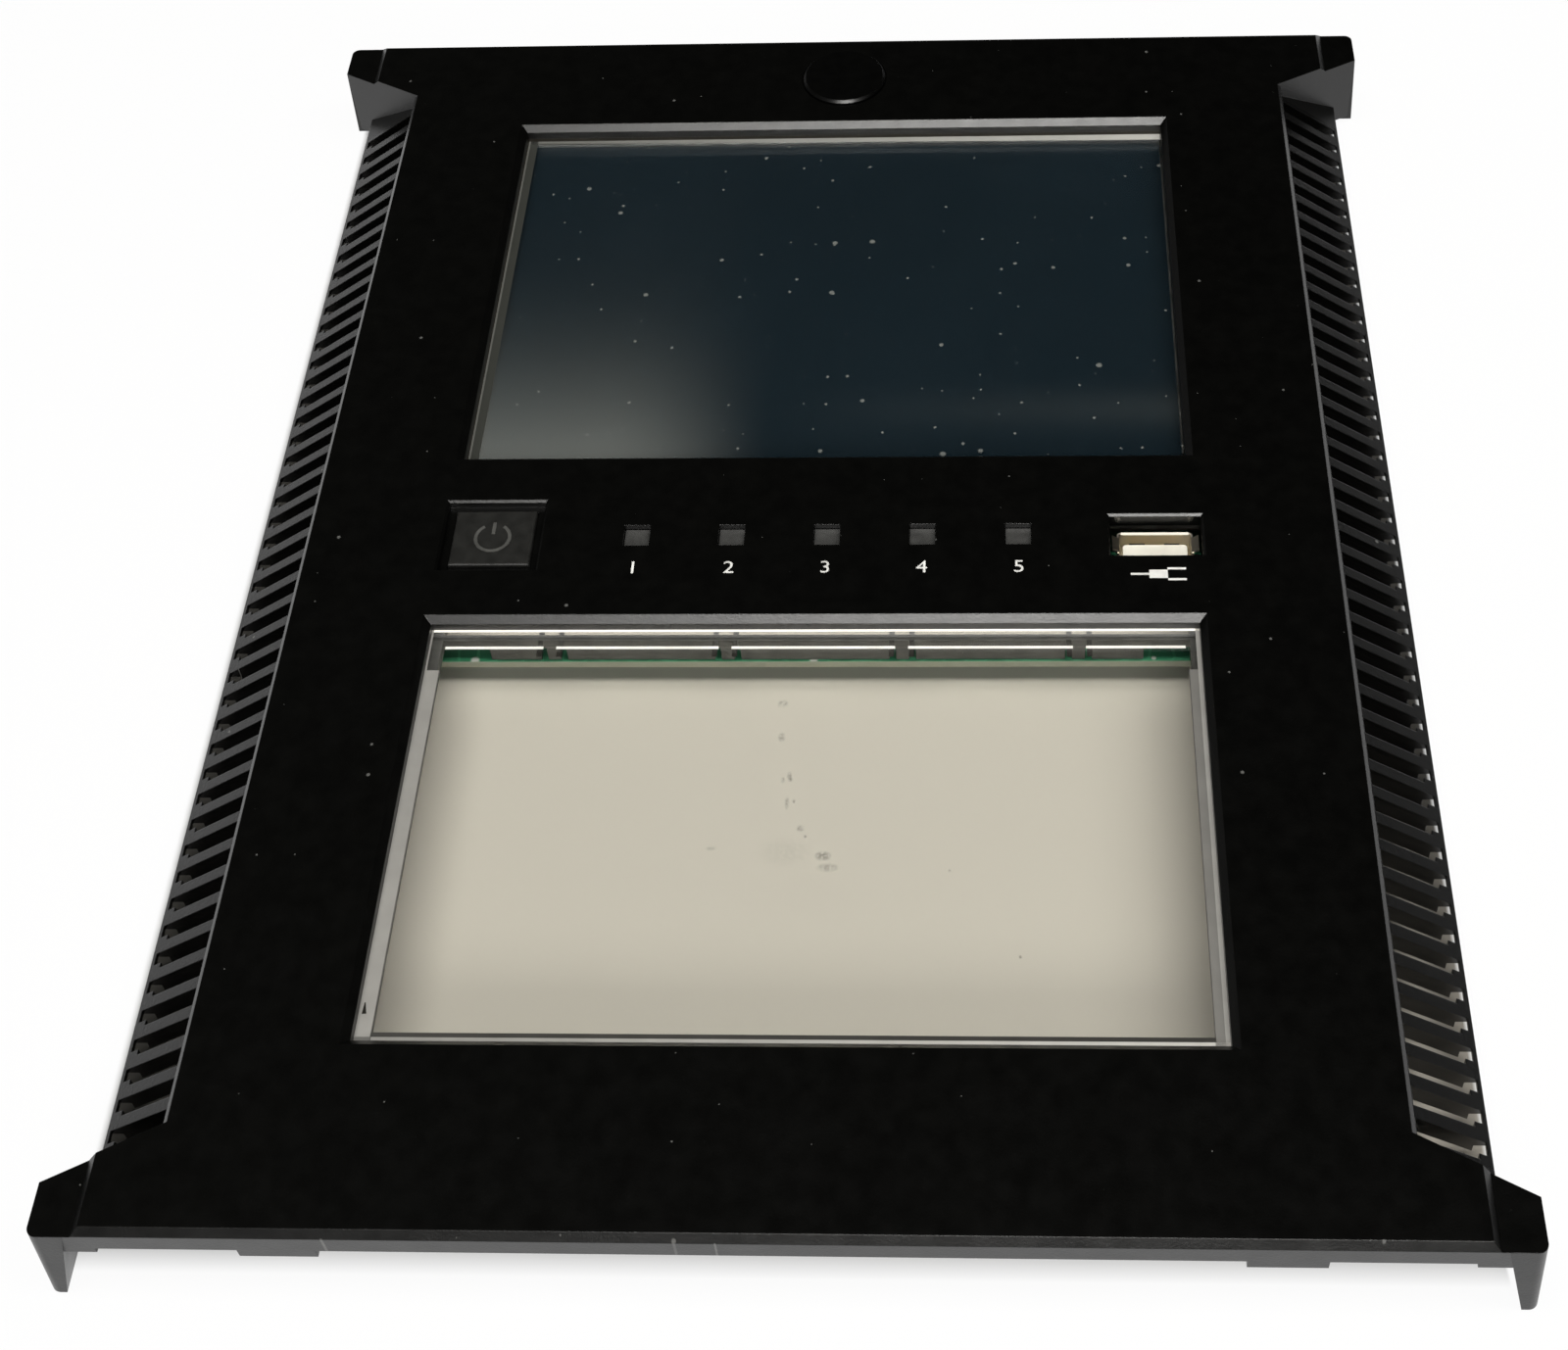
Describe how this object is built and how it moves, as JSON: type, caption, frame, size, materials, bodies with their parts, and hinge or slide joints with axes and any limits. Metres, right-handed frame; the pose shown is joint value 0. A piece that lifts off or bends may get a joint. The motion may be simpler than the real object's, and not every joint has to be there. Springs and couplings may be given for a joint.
{
  "type": "tape library bezel",
  "caption": "Waisted black front bezel of a tape library with louvred sides, corner horns and legs, display, power button, status lamps, service port and viewing window.",
  "frame": {"origin": "middle of the footprint at the level of the four feet", "axes": "+X across the face to the right, +Y towards the top edge with the badge, +Z out of the face"},
  "size_m": [0.2144, 0.2664, 0.0188],
  "materials": {
    "bezel_plastic": "fine matte mould texture",
    "badge_plastic": "satin",
    "gasket_foam": "closed foam",
    "touch_glass": "clear with fine dust",
    "display_dark": "dark display",
    "bracket_steel": "galvanised sheet",
    "screw_steel": "zinc plated",
    "board_green": "solder mask",
    "connector_plastic": "moulded",
    "button_plastic": "satin with printed symbol",
    "plunger_plastic": "moulded",
    "lens_plastic": "smoked translucent",
    "led_plastic": "clear resin",
    "port_metal": "bright plated",
    "insulator_plastic": "moulded",
    "contact_metal": "gold plated",
    "pane_clear": "clear acrylic with light scuffs",
    "retainer_plastic": "grey moulding"
  },
  "bodies": {
    "bezel": {"front_bezel": "bezel_plastic", "badge_disc": "badge_plastic", "screen_gasket": "gasket_foam", "touch_panel": "touch_glass", "display_frame": "bracket_steel", "display_cell": "display_dark", "screen_bracket": "bracket_steel", "bracket_screws": "screw_steel", "control_board": "board_green", "board_screws": "screw_steel", "host_connector": "connector_plastic", "display_connector": "connector_plastic", "switch_housing": "connector_plastic", "status_lens_1": "lens_plastic", "status_lens_2": "lens_plastic", "status_lens_3": "lens_plastic", "status_lens_4": "lens_plastic", "status_lens_5": "lens_plastic", "status_led_1": "led_plastic", "status_led_2": "led_plastic", "status_led_3": "led_plastic", "status_led_4": "led_plastic", "status_led_5": "led_plastic", "port_shell": "port_metal", "port_insulator": "insulator_plastic", "port_contacts": "contact_metal", "window_pane": "pane_clear", "window_retainer": "retainer_plastic"},
    "button": {"power_button": "button_plastic", "switch_plunger": "plunger_plastic"}
  },
  "joints": [
    {"name": "button_press", "type": "slide", "parent": "bezel", "child": "button", "axis": [0, 0, -1], "range_m": [0, 0.0006], "stiffness_N_per_m": 2500, "springref_m": -0.0006}
  ]
}
